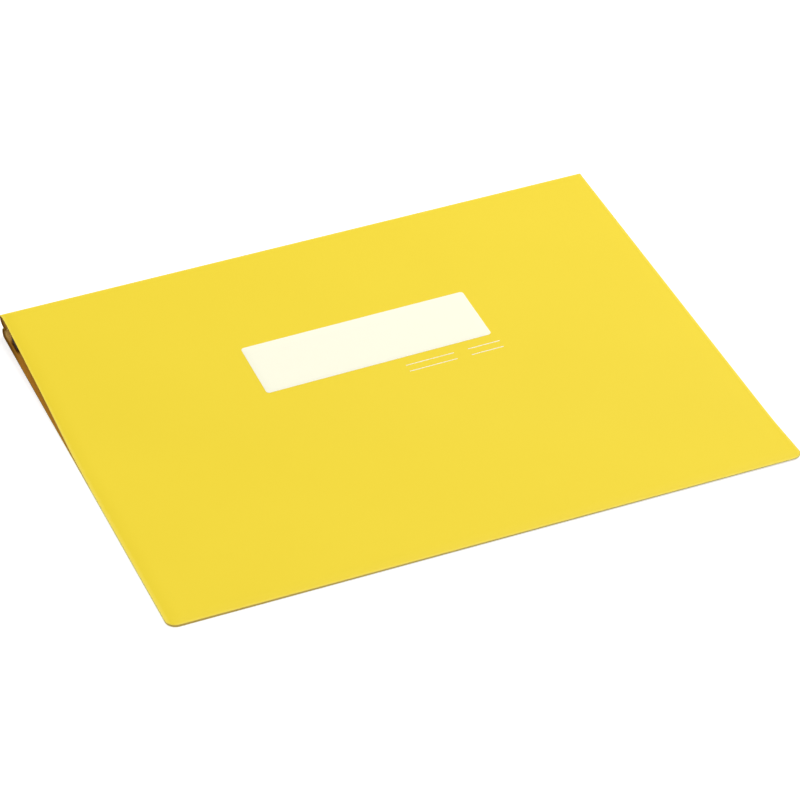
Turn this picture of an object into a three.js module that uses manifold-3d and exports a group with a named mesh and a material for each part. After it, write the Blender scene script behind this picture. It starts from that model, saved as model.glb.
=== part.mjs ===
// A board binder for wide printed listings, closed and empty, lying flat on its rear cover.
// Millimetres. X runs along the spine, +Y points to the spine, +Z is up.
// The origin is on the underside of the rear cover, in the middle of the binder's outline.
//
// One sheet of coated board is scored into five panels: rear cover, spine panel, gusset panel,
// a narrow strip between two scores at the back edge, and the front cover. Near the spine a
// steel base strip is riveted to the rear cover. Two posts stand on it, and a press bar with a
// sliding lock at each end goes over them and clamps the sheets.

import * as THREE from 'three';
import { mergeVertices } from 'three/addons/utils/BufferGeometryUtils.js';
import Module from 'manifold-3d';

const wasm = await Module();
wasm.setup();

// Listing sheets: their size, their row of holes, and the cover's margins round them
const SHEET_WIDTH = 381;
const SHEET_DEPTH = 279.4;
const HOLE_TO_SHEET_EDGE = 6.35;
const END_MARGIN = 9.5;
const FORE_MARGIN = 17.1;
const BACK_MARGIN = 13.5;

// Cover board
const BOARD = 0.7;
const REAR_OVERHANG = 0.8;
const CORNER_RADIUS = 6.5;
const COVER_REST_GAP = 0.13;

// How the front cover lies: each end leaves the rear cover at its own depth from the
// fore-edge, and reaches its own height at the back edge
const LIFT_OFF_LEFT = 170;
const LIFT_OFF_RIGHT = 35;
const BACK_HEIGHT_LEFT = 13.9;
const BACK_HEIGHT_RIGHT = 18.4;
const LIFT_OFF_SOFTNESS = 12;

// Folds of the spine
const SPINE_PANEL = 11;
const GUSSET_PANEL = 11;
const CREASE_HEIGHT = 2;
const SPINE_INSET = 2;
const FOLD_GAP = 0.3;
const INNER_FOLD_PLAY = 0.6;

// Title label
const LABEL_WIDTH = 150;
const LABEL_DEPTH = 45.5;
const LABEL_THICKNESS = 0.15;
const LABEL_CORNER = 2.2;
const LABEL_TO_BACK_EDGE = 86.5;
const LABEL_OFF_CENTRE = 2;
const GLUE_GAP = 0.08;

// Base strip and its rivets
const STRIP_PAST_POST = 10;
const STRIP_WIDTH = 14;
const STRIP_GAUGE = 0.8;
const RIVET_COUNT = 6;
const RIVET_PITCH = 60;
const RIVET_SHANK = 2.4;
const RIVET_HEAD = 5;
const RIVET_DOME = 0.6;
const RIVET_SET_HEAD = 0.3;
const RIVET_CLEARANCE = 0.15;

// Posts
const POST_DIAMETER = 2.8;
const POST_HEIGHT = 8.3;
const POST_TIP = 0.9;
const FOOT_DIAMETER = 7;
const FOOT_THICKNESS = 0.7;
const TAIL_DIAMETER = 3.2;
const POST_CLEARANCE = 0.15;

// Press bar, a channel with turned-in lips, and its end caps
const BAR_WIDTH = 12;
const BAR_HEIGHT = 2.8;
const BAR_GAUGE = 0.6;
const BAR_LIP = 2;
const BAR_BEND = 0.7;
const BAR_HOLE = 3.6;
const CAP_THICKNESS = 1.5;
const CAP_TONGUE = 2.5;
const CAP_TO_SLIDE = 0.4;

// Lock slides, inside the press bar
const SLIDE_LENGTH = 30;
const SLIDE_THICKNESS = 1.2;
const SLIDE_PLAY = 0.3;
const SLIDE_TRAVEL = 6;
const KEYHOLE_DIAMETER = 4.4;
const SLIDE_END_WALL = 1.3;
const THUMB_LENGTH = 12;
const THUMB_WIDTH = 6;
const THUMB_HEIGHT = 2.6;
const THUMB_RIBS = 4;
const THUMB_RIB_WIDTH = 1;
const THUMB_GROOVE = 0.6;

// Fineness of the faceted shapes
const BOARD_COLUMNS = 20;
const BOARD_ROW_SPACING = 8;
const LABEL_COLUMNS = 10;
const CORNER_STEPS = 5;
const ROUND_SEGMENTS = 24;
const DOME_STEPS = 4;

// Sizes that follow from the ones above
const COVER_WIDTH = SHEET_WIDTH + 2 * END_MARGIN;
const COVER_DEPTH = SHEET_DEPTH + FORE_MARGIN + BACK_MARGIN;
const BACK_Y = COVER_DEPTH / 2;
const FORE_Y = -COVER_DEPTH / 2;
const REST_TOP = 2 * BOARD + COVER_REST_GAP;
const POST_Y = BACK_Y - BACK_MARGIN - HOLE_TO_SHEET_EDGE;
const POST_SPACING = SHEET_WIDTH - 2 * HOLE_TO_SHEET_EDGE;
const STRIP_LENGTH = POST_SPACING + 2 * STRIP_PAST_POST;
const STRIP_TOP = BOARD + STRIP_GAUGE;
const BAR_BOTTOM = STRIP_TOP + FOOT_THICKNESS;
const RIVET_SET_RECESS = RIVET_SET_HEAD + RIVET_CLEARANCE / 3;
const SLIDE_PAST_POST = SLIDE_TRAVEL + KEYHOLE_DIAMETER / 2 + SLIDE_END_WALL;
const BAR_LENGTH = POST_SPACING + 2 * (SLIDE_PAST_POST + CAP_TO_SLIDE + CAP_TONGUE);

const boardYellow = new THREE.MeshStandardMaterial({ color: 0xf3d53e, roughness: 0.55, metalness: 0 });
const labelIvory = new THREE.MeshStandardMaterial({ color: 0xfefce7, roughness: 0.6, metalness: 0 });
const platedSteel = new THREE.MeshStandardMaterial({ color: 0xb9bbbd, roughness: 0.35, metalness: 1 });
const nylonWhite = new THREE.MeshStandardMaterial({ color: 0xe9e7df, roughness: 0.45, metalness: 0 });
const plasticBlack = new THREE.MeshStandardMaterial({ color: 0x262421, roughness: 0.5, metalness: 0 });

// A closed solid for boolean work, from a geometry of separate triangles.
function solidOf(geometry) {
  const bare = geometry.clone();
  bare.deleteAttribute('normal');
  bare.deleteAttribute('uv');
  const merged = mergeVertices(bare, 1e-4);
  return new wasm.Manifold(new wasm.Mesh({
    numProp: 3,
    vertProperties: new Float32Array(merged.attributes.position.array),
    triVerts: new Uint32Array(merged.index.array),
  }));
}

function geometryOf(solid) {
  const mesh = solid.getMesh();
  const geometry = new THREE.BufferGeometry();
  geometry.setAttribute('position', new THREE.BufferAttribute(new Float32Array(mesh.vertProperties), 3));
  geometry.setIndex(new THREE.BufferAttribute(new Uint32Array(mesh.triVerts), 1));
  geometry.computeVertexNormals();
  return geometry;
}

function cutAway(geometry, tools) {
  return geometryOf(tools.reduce((body, tool) => body.subtract(solidOf(tool)), solidOf(geometry)));
}

function joined(geometries) {
  return geometryOf(geometries.map(solidOf).reduce((body, other) => body.add(other)));
}

// An upright cylinder between two heights.
function drum(diameter, low, high, x = 0, y = 0) {
  const geometry = new THREE.CylinderGeometry(diameter / 2, diameter / 2, high - low, ROUND_SEGMENTS);
  geometry.rotateX(Math.PI / 2);
  return geometry.translate(x, y, (low + high) / 2);
}

// A turned piece standing upright, from a profile of [radius, height] points.
function turned(profile) {
  const points = profile.map(([radius, height]) => new THREE.Vector2(radius, height));
  return new THREE.LatheGeometry(points, ROUND_SEGMENTS).rotateX(Math.PI / 2);
}

function block(sizeX, sizeY, low, high, x = 0, y = 0) {
  return new THREE.BoxGeometry(sizeX, sizeY, high - low).translate(x, y, (low + high) / 2);
}

// A section drawn in Y and Z, run along X and centred on X = 0.
function runAlongX(section, length) {
  const geometry = new THREE.ExtrudeGeometry(section, { depth: length, bevelEnabled: false, curveSegments: 4 });
  const turn = new THREE.Matrix4().makeBasis(
    new THREE.Vector3(0, 1, 0),
    new THREE.Vector3(0, 0, 1),
    new THREE.Vector3(1, 0, 0),
  );
  return geometry.applyMatrix4(turn).translate(-length / 2, 0, 0);
}

// A closed board from two grids of points. Rows run towards +Y and columns towards +X.
function boardGeometry(upper, lower) {
  const rows = upper.length;
  const columns = upper[0].length;
  const points = [...upper.flat(), ...lower.flat()];
  const top = (row, column) => row * columns + column;
  const under = (row, column) => rows * columns + row * columns + column;
  const indices = [];
  const quad = (a, b, c, d) => indices.push(a, b, c, a, c, d);
  for (let row = 0; row < rows - 1; row += 1) {
    for (let column = 0; column < columns - 1; column += 1) {
      const right = column + 1;
      const next = row + 1;
      quad(top(row, column), top(row, right), top(next, right), top(next, column));
      quad(under(row, column), under(next, column), under(next, right), under(row, right));
    }
  }
  const last = rows - 1;
  for (let column = 0; column < columns - 1; column += 1) {
    const right = column + 1;
    quad(under(0, column), under(0, right), top(0, right), top(0, column));
    quad(under(last, right), under(last, column), top(last, column), top(last, right));
  }
  const edge = columns - 1;
  for (let row = 0; row < rows - 1; row += 1) {
    const next = row + 1;
    quad(under(next, 0), under(row, 0), top(row, 0), top(next, 0));
    quad(under(row, edge), under(next, edge), top(next, edge), top(row, edge));
  }
  const geometry = new THREE.BufferGeometry().setFromPoints(points);
  geometry.setIndex(indices);
  geometry.computeVertexNormals();
  return geometry;
}

// Rows of a rectangle with rounded corners: each has its Y and its half width.
function roundedRows(low, high, halfWidth, lowRadius, highRadius, spacing) {
  const rows = [];
  const corner = (radius, step) => {
    const angle = (Math.PI / 2) * (step / CORNER_STEPS);
    return { in: radius * (1 - Math.cos(angle)), off: radius * (1 - Math.sin(angle)) };
  };
  for (let step = 0; lowRadius > 0 && step < CORNER_STEPS; step += 1) {
    const cut = corner(lowRadius, step);
    rows.push({ y: low + cut.in, half: halfWidth - cut.off });
  }
  const start = low + lowRadius;
  const end = high - highRadius;
  const bands = Math.max(1, Math.round((end - start) / spacing));
  for (let band = 0; band <= bands; band += 1) {
    rows.push({ y: start + ((end - start) * band) / bands, half: halfWidth });
  }
  for (let step = CORNER_STEPS - 1; highRadius > 0 && step >= 0; step -= 1) {
    const cut = corner(highRadius, step);
    rows.push({ y: high - cut.in, half: halfWidth - cut.off });
  }
  return rows;
}

// A ramp that is nought before zero, rises evenly after it and turns softly between.
function softRamp(distance) {
  return (distance + Math.hypot(distance, LIFT_OFF_SOFTNESS)) / 2;
}

function acrossCover(left, right, x) {
  return THREE.MathUtils.lerp(left, right, x / COVER_WIDTH + 0.5);
}

// Height of the front cover's upper face.
function coverTop(x, y) {
  const liftOff = acrossCover(LIFT_OFF_LEFT, LIFT_OFF_RIGHT, x);
  const backHeight = acrossCover(BACK_HEIGHT_LEFT, BACK_HEIGHT_RIGHT, x);
  const none = softRamp(-liftOff);
  const climbed = softRamp(y - FORE_Y - liftOff) - none;
  const whole = softRamp(COVER_DEPTH - liftOff) - none;
  return REST_TOP + ((backHeight - REST_TOP) * climbed) / whole;
}

// The fold lines, each as its place in the YZ plane for a given X, in the middle of the board.
const spineFold = () => new THREE.Vector2(BACK_Y - SPINE_INSET, BOARD / 2);
const backFold = (x) => new THREE.Vector2(
  BACK_Y - BOARD / 2,
  acrossCover(BACK_HEIGHT_LEFT, BACK_HEIGHT_RIGHT, x) - BOARD / 2,
);
const creaseFold = (x) => backFold(x).sub(new THREE.Vector2(0, CREASE_HEIGHT));

// The gusset's fold, where a spine panel and a gusset panel of these lengths meet inside.
function gussetFold(x) {
  const low = spineFold();
  const high = creaseFold(x);
  const span = high.clone().sub(low);
  const apart = span.length();
  const along = (apart ** 2 + SPINE_PANEL ** 2 - GUSSET_PANEL ** 2) / (2 * apart);
  const inward = Math.sqrt(Math.max(SPINE_PANEL ** 2 - along ** 2, 0));
  const direction = span.divideScalar(apart);
  const inside = new THREE.Vector2(-direction.y, direction.x);
  return low.addScaledVector(direction, along).addScaledVector(inside, inward);
}

// A point towards the fore-edge on the front cover's own line where it meets the back fold.
function coverInside(x) {
  const step = SPINE_PANEL;
  return new THREE.Vector2(backFold(x).x - step, coverTop(x, BACK_Y - step) - BOARD / 2);
}

// How far two boards stop short of the fold between them, so that they don't meet at the
// sharpest angle along it.
function foldCut(before, fold, after) {
  const cuts = [-1, 1].map((side) => {
    const x = (side * COVER_WIDTH) / 2;
    const first = before(x).sub(fold(x));
    const second = after(x).sub(fold(x));
    const angle = Math.acos(first.dot(second) / (first.length() * second.length()));
    return BOARD / 2 / Math.tan(angle / 2) + FOLD_GAP / 2;
  });
  return Math.max(...cuts);
}

const rearInside = () => spineFold().sub(new THREE.Vector2(SPINE_PANEL, 0));
const SPINE_CUT = foldCut(rearInside, spineFold, gussetFold);
const GUSSET_CUT = foldCut(spineFold, gussetFold, creaseFold) + INNER_FOLD_PLAY / 2;
const CREASE_CUT = foldCut(gussetFold, creaseFold, backFold);
const BACK_CUT = foldCut(creaseFold, backFold, coverInside);

// A flat panel of board between two fold lines.
function panelBetween(from, to, fromCut, toCut) {
  const upper = [[], []];
  const lower = [[], []];
  for (let column = 0; column <= BOARD_COLUMNS; column += 1) {
    const x = COVER_WIDTH * (column / BOARD_COLUMNS - 0.5);
    const start = from(x);
    const end = to(x);
    const along = end.clone().sub(start).normalize();
    const outward = new THREE.Vector2(-along.y, along.x).multiplyScalar(BOARD / 2);
    const ends = [start.addScaledVector(along, fromCut), end.addScaledVector(along, -toCut)];
    ends.forEach((place, row) => {
      upper[row].push(new THREE.Vector3(x, place.x + outward.x, place.y + outward.y));
      lower[row].push(new THREE.Vector3(x, place.x - outward.x, place.y - outward.y));
    });
  }
  return boardGeometry(upper, lower);
}

// A sheet that follows the front cover's upper face, between two heights above it.
function sheetOnCover(rows, columns, centreX, low, high) {
  const layer = (height) => rows.map(({ y, half }) => {
    const points = [];
    for (let column = 0; column <= columns; column += 1) {
      const x = centreX + half * ((2 * column) / columns - 1);
      points.push(new THREE.Vector3(x, y, coverTop(x, y) + height));
    }
    return points;
  });
  return boardGeometry(layer(high), layer(low));
}

function makeMesh(name, geometry, material, x = 0, y = 0, z = 0) {
  const mesh = new THREE.Mesh(geometry, material);
  mesh.name = name;
  mesh.position.set(x, y, z);
  return mesh;
}

const rivetX = Array.from({ length: RIVET_COUNT }, (_, index) => RIVET_PITCH * (index - (RIVET_COUNT - 1) / 2));

// The rear cover lies flat. The rivets' set heads are sunk into its underside.
function makeRearCover() {
  const half = COVER_WIDTH / 2 + REAR_OVERHANG;
  const back = spineFold().x - SPINE_CUT;
  const outline = new THREE.Shape();
  outline.moveTo(-half, back);
  outline.lineTo(-half, FORE_Y + CORNER_RADIUS);
  outline.absarc(-half + CORNER_RADIUS, FORE_Y + CORNER_RADIUS, CORNER_RADIUS, Math.PI, 1.5 * Math.PI);
  outline.absarc(half - CORNER_RADIUS, FORE_Y + CORNER_RADIUS, CORNER_RADIUS, 1.5 * Math.PI, 2 * Math.PI);
  outline.lineTo(half, back);
  outline.closePath();
  const sheet = new THREE.ExtrudeGeometry(outline, { depth: BOARD, bevelEnabled: false, curveSegments: CORNER_STEPS });
  const shankHoles = rivetX.map((x) => drum(RIVET_SHANK + 2 * RIVET_CLEARANCE, -1, BOARD + 1, x, POST_Y));
  const headSinks = rivetX.map((x) => drum(RIVET_HEAD + 2 * RIVET_CLEARANCE, -1, RIVET_SET_RECESS, x, POST_Y));
  return makeMesh('rear_cover', cutAway(sheet, [...shankHoles, ...headSinks]), boardYellow);
}

function makeSpinePanel() {
  return makeMesh('spine_panel', panelBetween(spineFold, gussetFold, SPINE_CUT, GUSSET_CUT), boardYellow);
}

function makeGussetPanel() {
  return makeMesh('gusset_panel', panelBetween(gussetFold, creaseFold, GUSSET_CUT, CREASE_CUT), boardYellow);
}

function makeCreaseStrip() {
  return makeMesh('crease_strip', panelBetween(creaseFold, backFold, CREASE_CUT, BACK_CUT), boardYellow);
}

function makeFrontCover() {
  const back = backFold(0).x - BACK_CUT;
  const rows = roundedRows(FORE_Y, back, COVER_WIDTH / 2, CORNER_RADIUS, 0, BOARD_ROW_SPACING);
  return makeMesh('front_cover', sheetOnCover(rows, BOARD_COLUMNS, 0, -BOARD, 0), boardYellow);
}

// The label is glued to the front cover and follows its lie.
function makeTitleLabel() {
  const high = BACK_Y - LABEL_TO_BACK_EDGE;
  const rows = roundedRows(
    high - LABEL_DEPTH, high, LABEL_WIDTH / 2, LABEL_CORNER, LABEL_CORNER, BOARD_ROW_SPACING,
  );
  const low = GLUE_GAP;
  const sheet = sheetOnCover(rows, LABEL_COLUMNS, LABEL_OFF_CENTRE, low, low + LABEL_THICKNESS);
  return makeMesh('title_label', sheet, labelIvory);
}

function makeBaseStrip() {
  const strip = block(STRIP_LENGTH, STRIP_WIDTH, 0, STRIP_GAUGE);
  const tailHoles = [-1, 1].map((side) => (
    drum(TAIL_DIAMETER + 2 * POST_CLEARANCE, -1, STRIP_GAUGE + 1, (side * POST_SPACING) / 2)
  ));
  const rivetHoles = rivetX.map((x) => drum(RIVET_SHANK + 2 * RIVET_CLEARANCE, -1, STRIP_GAUGE + 1, x));
  return makeMesh('base_strip', cutAway(strip, [...tailHoles, ...rivetHoles]), platedSteel, 0, POST_Y, BOARD);
}

// A rivet: set head in the rear cover's underside, shank, and a low dome on the base strip.
function makeRivet(index) {
  const headRadius = RIVET_HEAD / 2;
  const profile = [
    [0, RIVET_SET_RECESS - RIVET_SET_HEAD],
    [headRadius, RIVET_SET_RECESS - RIVET_SET_HEAD],
    [headRadius, RIVET_SET_RECESS],
    [RIVET_SHANK / 2, RIVET_SET_RECESS],
    [RIVET_SHANK / 2, STRIP_TOP],
  ];
  for (let step = 0; step < DOME_STEPS; step += 1) {
    const angle = (Math.PI / 2) * (step / DOME_STEPS);
    profile.push([headRadius * Math.cos(angle), STRIP_TOP + RIVET_DOME * Math.sin(angle)]);
  }
  profile.push([0, STRIP_TOP + RIVET_DOME]);
  return makeMesh(`base_rivet_${index + 1}`, turned(profile), platedSteel, rivetX[index], POST_Y, 0);
}

// A post: a tail in the base strip, a round foot on it and a smooth shaft with a rounded tip.
function makePost(name, side) {
  const shaft = POST_DIAMETER / 2;
  const foot = FOOT_DIAMETER / 2;
  const profile = [
    [0, POST_CLEARANCE],
    [TAIL_DIAMETER / 2, POST_CLEARANCE],
    [TAIL_DIAMETER / 2, STRIP_GAUGE],
    [foot, STRIP_GAUGE],
    [foot, STRIP_GAUGE + FOOT_THICKNESS],
    [shaft, STRIP_GAUGE + FOOT_THICKNESS],
  ];
  const shoulder = STRIP_GAUGE + POST_HEIGHT - POST_TIP;
  for (let step = 0; step < DOME_STEPS; step += 1) {
    const angle = (Math.PI / 2) * (step / DOME_STEPS);
    profile.push([shaft * Math.cos(angle), shoulder + POST_TIP * Math.sin(angle)]);
  }
  profile.push([0, shoulder + POST_TIP]);
  return makeMesh(name, turned(profile), nylonWhite, (side * POST_SPACING) / 2, POST_Y, BOARD);
}

// The press bar's section: a channel whose lips turn in over the lock slides.
function barSection() {
  const half = BAR_WIDTH / 2;
  const inner = half - BAR_GAUGE;
  const mouth = half - BAR_LIP;
  const section = new THREE.Shape();
  section.moveTo(-half + BAR_BEND, 0);
  section.lineTo(half - BAR_BEND, 0);
  section.absarc(half - BAR_BEND, BAR_BEND, BAR_BEND, -Math.PI / 2, 0);
  section.lineTo(half, BAR_HEIGHT - BAR_BEND);
  section.absarc(half - BAR_BEND, BAR_HEIGHT - BAR_BEND, BAR_BEND, 0, Math.PI / 2);
  section.lineTo(mouth, BAR_HEIGHT);
  section.lineTo(mouth, BAR_HEIGHT - BAR_GAUGE);
  section.lineTo(inner, BAR_HEIGHT - BAR_GAUGE);
  section.lineTo(inner, BAR_GAUGE);
  section.lineTo(-inner, BAR_GAUGE);
  section.lineTo(-inner, BAR_HEIGHT - BAR_GAUGE);
  section.lineTo(-mouth, BAR_HEIGHT - BAR_GAUGE);
  section.lineTo(-mouth, BAR_HEIGHT);
  section.lineTo(-half + BAR_BEND, BAR_HEIGHT);
  section.absarc(-half + BAR_BEND, BAR_HEIGHT - BAR_BEND, BAR_BEND, Math.PI / 2, Math.PI);
  section.lineTo(-half, BAR_BEND);
  section.absarc(-half + BAR_BEND, BAR_BEND, BAR_BEND, Math.PI, 1.5 * Math.PI);
  return section;
}

function makePressBar() {
  const channel = runAlongX(barSection(), BAR_LENGTH);
  const holes = [-1, 1].map((side) => drum(BAR_HOLE, -1, BAR_GAUGE * 2, (side * POST_SPACING) / 2));
  return makeMesh('press_bar', cutAway(channel, holes), platedSteel, 0, POST_Y, BAR_BOTTOM);
}

// An end cap: a face over the bar's end and a tongue inside the channel.
function makeEndCap(name, side) {
  const face = block(CAP_THICKNESS, BAR_WIDTH, 0, BAR_HEIGHT, CAP_THICKNESS / 2);
  const inside = BAR_WIDTH - 2 * BAR_GAUGE - 2 * SLIDE_PLAY;
  const tongueLow = BAR_GAUGE + SLIDE_PLAY / 2;
  const tongueHigh = BAR_HEIGHT - BAR_GAUGE - SLIDE_PLAY / 2;
  const tongue = block(CAP_TONGUE + CAP_THICKNESS / 2, inside, tongueLow, tongueHigh, -(CAP_TONGUE - CAP_THICKNESS / 2) / 2);
  const cap = makeMesh(name, joined([face, tongue]), plasticBlack, (side * BAR_LENGTH) / 2, POST_Y, BAR_BOTTOM);
  cap.rotation.z = side > 0 ? 0 : Math.PI;
  return cap;
}

// A lock slide, drawn for the right end with the post on its own Z axis. The post stands in
// the narrow end of a keyhole, and the slide moves inwards to bring the wide end over it.
function lockSlideGeometry() {
  const slot = POST_DIAMETER / 2 + POST_CLEARANCE;
  const eye = KEYHOLE_DIAMETER / 2;
  const halfWidth = BAR_WIDTH / 2 - BAR_GAUGE - SLIDE_PLAY;
  const plate = block(SLIDE_LENGTH, 2 * halfWidth, 0, SLIDE_THICKNESS, SLIDE_PAST_POST - SLIDE_LENGTH / 2);
  const keyhole = [
    drum(2 * slot, -1, SLIDE_THICKNESS + 1),
    block(SLIDE_TRAVEL, 2 * slot, -1, SLIDE_THICKNESS + 1, SLIDE_TRAVEL / 2),
    drum(2 * eye, -1, SLIDE_THICKNESS + 1, SLIDE_TRAVEL),
  ];
  const thumbTop = SLIDE_THICKNESS + THUMB_HEIGHT;
  const thumbX = SLIDE_PAST_POST - SLIDE_LENGTH + THUMB_LENGTH / 2 + SLIDE_END_WALL;
  const thumb = block(THUMB_LENGTH, THUMB_WIDTH, SLIDE_THICKNESS / 2, thumbTop, thumbX);
  const ribPitch = (THUMB_LENGTH - THUMB_RIB_WIDTH) / (THUMB_RIBS - 1);
  const grooves = Array.from({ length: THUMB_RIBS - 1 }, (_, index) => block(
    ribPitch - THUMB_RIB_WIDTH,
    THUMB_WIDTH + 2,
    thumbTop - THUMB_GROOVE,
    thumbTop + 1,
    thumbX - THUMB_LENGTH / 2 + THUMB_RIB_WIDTH / 2 + ribPitch * (index + 0.5),
  ));
  return cutAway(joined([plate, thumb]), [...keyhole, ...grooves]);
}

function makeLockSlide(name, side) {
  const height = BAR_BOTTOM + BAR_GAUGE + SLIDE_PLAY / 2;
  const slide = makeMesh(name, lockSlideGeometry(), plasticBlack, (side * POST_SPACING) / 2, POST_Y, height);
  slide.rotation.z = side > 0 ? 0 : Math.PI;
  return slide;
}

const cover = new THREE.Group();
cover.add(makeRearCover(), makeSpinePanel(), makeGussetPanel(), makeCreaseStrip(), makeFrontCover(), makeTitleLabel());

const base = new THREE.Group();
base.add(makeBaseStrip(), ...rivetX.map((_, index) => makeRivet(index)));
base.add(makePost('left_post', -1), makePost('right_post', 1));

const press = new THREE.Group();
press.add(makePressBar(), makeEndCap('left_end_cap', -1), makeEndCap('right_end_cap', 1));
press.add(makeLockSlide('left_lock_slide', -1), makeLockSlide('right_lock_slide', 1));

const binder = new THREE.Group();
binder.add(cover, base, press);

export default binder;
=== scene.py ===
# A wide board binder for printed listings, closed, lying on its rear cover on a pale table.
# Metres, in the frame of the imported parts: X along the spine, +Y to the spine, +Z up.

import math
import bpy
import numpy as np
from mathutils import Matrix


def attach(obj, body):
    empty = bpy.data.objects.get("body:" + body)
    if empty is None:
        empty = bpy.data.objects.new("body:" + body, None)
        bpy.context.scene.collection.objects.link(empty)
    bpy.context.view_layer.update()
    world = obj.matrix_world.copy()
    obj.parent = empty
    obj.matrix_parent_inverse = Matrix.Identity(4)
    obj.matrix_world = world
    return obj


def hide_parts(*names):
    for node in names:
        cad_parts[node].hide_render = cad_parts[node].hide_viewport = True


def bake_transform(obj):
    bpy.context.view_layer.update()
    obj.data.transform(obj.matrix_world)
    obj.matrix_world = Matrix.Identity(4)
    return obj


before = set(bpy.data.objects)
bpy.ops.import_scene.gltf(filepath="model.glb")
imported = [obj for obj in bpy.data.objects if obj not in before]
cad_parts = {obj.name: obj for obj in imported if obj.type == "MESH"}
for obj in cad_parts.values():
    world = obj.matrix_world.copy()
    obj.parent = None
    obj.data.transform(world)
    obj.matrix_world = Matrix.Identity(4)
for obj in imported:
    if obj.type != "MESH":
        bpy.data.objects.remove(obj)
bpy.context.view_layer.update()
scene = bpy.context.scene

# The studio: a camera a little under two metres off, a pale table and soft light all round,
# with a wide soft lamp high up behind the binder's right end and a weaker one at its left.
VIEW_YAW = math.radians(23.034)
VIEW_PITCH = math.radians(36.562)
FOCAL_LENGTH = 146.97
FILM_WIDTH = 36.0
CAMERA_RIGHT = 0.00453
CAMERA_UP = -0.00401
CAMERA_BACK = 1.99487
AIR_LIGHT = 0.42
TABLE_PALE = 0.7
TABLE_SEEN = 0.6
TABLE_WIDTH = 12
TABLE_GAP = 0.0002

ahead = np.array((
    math.sin(VIEW_YAW) * math.cos(VIEW_PITCH),
    math.cos(VIEW_YAW) * math.cos(VIEW_PITCH),
    -math.sin(VIEW_PITCH),
))
rightwards = np.array((math.cos(VIEW_YAW), -math.sin(VIEW_YAW), 0.0))
upwards = np.cross(rightwards, ahead)
film = bpy.data.cameras.new("camera")
film.lens = FOCAL_LENGTH
film.sensor_width = FILM_WIDTH
film.clip_start = 0.05
film.clip_end = 30
camera = bpy.data.objects.new("camera", film)
scene.collection.objects.link(camera)
camera.location = rightwards * CAMERA_RIGHT + upwards * CAMERA_UP - ahead * CAMERA_BACK
camera.rotation_euler = (math.pi / 2 - VIEW_PITCH, 0.0, -VIEW_YAW)
scene.camera = camera
scene.view_settings.view_transform = "Standard"


def soft_lamp(name, place, width, watts):
    """A square area lamp turned towards the binder."""
    lamp = bpy.data.lights.new(name, "AREA")
    lamp.shape = "SQUARE"
    lamp.size = width
    lamp.energy = watts
    holder = bpy.data.objects.new(name, lamp)
    scene.collection.objects.link(holder)
    holder.location = place
    tilt = math.atan2(math.hypot(place[0], place[1]), place[2])
    holder.rotation_euler = (tilt, 0.0, math.atan2(-place[1], -place[0]) - math.pi / 2)


soft_lamp("high_lamp", place=(1.1, 0.6, 2.2), width=1.8, watts=42)
soft_lamp("side_lamp", place=(-1.2, -0.5, 2.0), width=1.0, watts=9)


def rays_of(tree, *kinds):
    """1 for a ray of one of these kinds, else 0."""
    rays = tree.nodes.new("ShaderNodeLightPath")
    either = tree.nodes.new("ShaderNodeMath")
    either.operation = "MAXIMUM"
    for kind, socket in zip(kinds, either.inputs):
        tree.links.new(rays.outputs[kind], socket)
    return either.outputs[0]


air = bpy.data.worlds.new("studio_air")
scene.world = air
air.use_nodes = True
backdrop = air.node_tree.nodes["Background"]
backdrop.inputs["Color"].default_value = (1, 1, 1, 1)
seen_air = air.node_tree.nodes.new("ShaderNodeMapRange")
seen_air.inputs["To Min"].default_value = AIR_LIGHT
seen_air.inputs["To Max"].default_value = 1.0
air.node_tree.links.new(
    rays_of(air.node_tree, "Is Camera Ray", "Is Transmission Ray"), seen_air.inputs["Value"],
)
air.node_tree.links.new(seen_air.outputs[0], backdrop.inputs["Strength"])

bpy.ops.object.select_all(action="DESELECT")
bpy.ops.mesh.primitive_plane_add(size=TABLE_WIDTH, location=(0, 0, -TABLE_GAP))
table = bpy.context.object
table.name = "table"
pale_table = bpy.data.materials.new("pale_table")
pale_table.use_nodes = True
tree = pale_table.node_tree
tree.nodes.clear()
table_matt = tree.nodes.new("ShaderNodeBsdfDiffuse")
table_matt.inputs["Color"].default_value = (TABLE_PALE, TABLE_PALE, TABLE_PALE, 1)
table_glow = tree.nodes.new("ShaderNodeEmission")
table_seen = tree.nodes.new("ShaderNodeMapRange")
table_seen.inputs["To Max"].default_value = TABLE_SEEN
table_sum = tree.nodes.new("ShaderNodeAddShader")
table_out = tree.nodes.new("ShaderNodeOutputMaterial")
tree.links.new(rays_of(tree, "Is Camera Ray", "Is Glossy Ray"), table_seen.inputs["Value"])
tree.links.new(table_seen.outputs[0], table_glow.inputs["Strength"])
tree.links.new(table_matt.outputs[0], table_sum.inputs[0])
tree.links.new(table_glow.outputs[0], table_sum.inputs[1])
tree.links.new(table_sum.outputs[0], table_out.inputs["Surface"])
table.data.materials.append(pale_table)

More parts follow.
